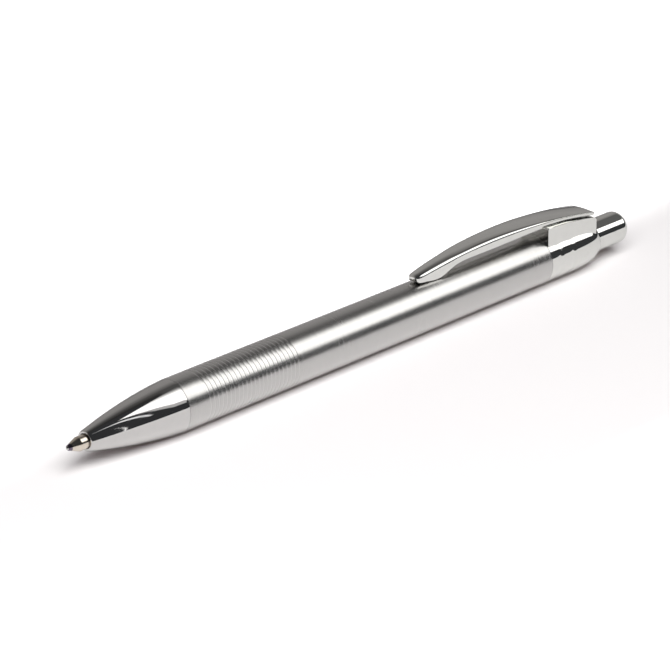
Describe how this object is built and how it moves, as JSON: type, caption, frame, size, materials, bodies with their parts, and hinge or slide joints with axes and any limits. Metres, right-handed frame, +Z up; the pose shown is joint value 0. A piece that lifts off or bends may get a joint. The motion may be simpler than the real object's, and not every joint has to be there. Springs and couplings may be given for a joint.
{
  "type": "click ball pen",
  "caption": "Slim metal click ball pen with a tapered nose cone, fine turned grip rings, an arched spring-loaded pocket clip on a square block, and a round push button.",
  "frame": {"origin": "bottom centre of the pen as it lies on its side with the clip on top", "axes": "+X along the pen from the tip to the push button, +Z up through the clip, +Y to the left of someone who looks from the tip's end along +X"},
  "size_m": [0.1418, 0.0098, 0.0137],
  "materials": {
    "brushed_steel": "satin brushed round the axis",
    "polished_chrome": "polished chrome plate",
    "nickel_silver": "turned, bright, slightly warm",
    "carbide": "polished",
    "brass": "turned",
    "spring_steel": "bright wire and strip",
    "black_plastic": "moulded, matt",
    "white_plastic": "moulded acetal, satin",
    "blue_ink": "wet",
    "grease": "wet, waxy"
  },
  "bodies": {
    "pen_body": {"barrel_tube": "brushed_steel", "barrel_front_bush": "brass", "barrel_rear_bush": "brass", "clip_sleeve": "polished_chrome", "cam_housing": "white_plastic", "button_guide": "black_plastic", "clip_pin": "spring_steel", "clip_leaf_spring": "spring_steel", "return_spring": "spring_steel"},
    "nose": {"nose_cone": "polished_chrome"},
    "refill": {"refill_point": "nickel_silver", "refill_neck": "black_plastic", "refill_tube": "brass", "ink_column": "blue_ink", "ink_follower": "grease", "refill_end_plug": "black_plastic"},
    "ball": {"writing_ball": "carbide"},
    "rotor": {"rotor_cam": "white_plastic"},
    "button": {"plunger_cam": "white_plastic", "push_button": "polished_chrome"},
    "clip": {"clip": "polished_chrome"}
  },
  "joints": [
    {"name": "button_slide", "type": "slide", "parent": "pen_body", "child": "button", "axis": [1, 0, 0], "range_m": [-0.001, 0.0052]},
    {"name": "refill_slide", "type": "slide", "parent": "pen_body", "child": "refill", "axis": [1, 0, 0], "range_m": [-0.001, 0.0052], "deforming": ["return_spring"]},
    {"name": "rotor_turn", "type": "hinge", "parent": "refill", "child": "rotor", "pos_m": [0.03463, 0, 0.0049], "axis": [1, 0, 0], "range_deg": [-5, 23]},
    {"name": "ball_roll", "type": "hinge", "parent": "refill", "child": "ball", "pos_m": [-0.07051, 0, 0.0049], "axis": [0, 1, 0], "continuous": true},
    {"name": "nose_unscrew", "type": "slide", "parent": "pen_body", "child": "nose", "axis": [-1, 0, 0], "range_m": [0, 0.032]},
    {"name": "clip_hinge", "type": "hinge", "parent": "pen_body", "child": "clip", "pos_m": [0.05856, 0, 0.01005], "axis": [0, 1, 0], "range_deg": [0, 5], "stiffness_Nm_per_rad": 0.3, "springref_deg": -2.86}
  ],
  "couplings": [
    {"joint": "refill_slide", "follows": "button_slide", "ratio": 1},
    {"joint": "rotor_turn", "follows": "button_slide", "rad_per_m": 75.52}
  ]
}
